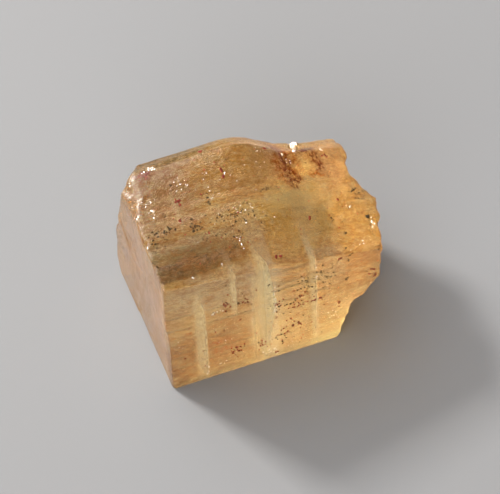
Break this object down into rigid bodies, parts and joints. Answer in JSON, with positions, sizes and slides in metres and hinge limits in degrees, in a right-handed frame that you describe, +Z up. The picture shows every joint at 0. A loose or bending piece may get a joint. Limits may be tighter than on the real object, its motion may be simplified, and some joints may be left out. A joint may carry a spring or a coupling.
{
  "type": "imperial topaz crystal",
  "caption": "Rough natural imperial topaz crystal lying on one side: a chunky striated prism with a flat cleavage face at one end and a ledgy break at the other.",
  "frame": {"origin": "on the resting plane, under the middle of the crystal's bounding box", "axes": "+X along the crystal's long axis, from the flat cleavage face to the broken end; +Y from the front side to the back side; +Z up"},
  "size_m": [0.0168, 0.0112, 0.0121],
  "materials": {
    "topaz": "see-through honey-orange crystal, glossy on cleavage, satin and frosted where worn, with dark specks, white cleavage veils and iron stains"
  },
  "bodies": {
    "root": {"topaz_crystal": "topaz"}
  },
  "joints": []
}
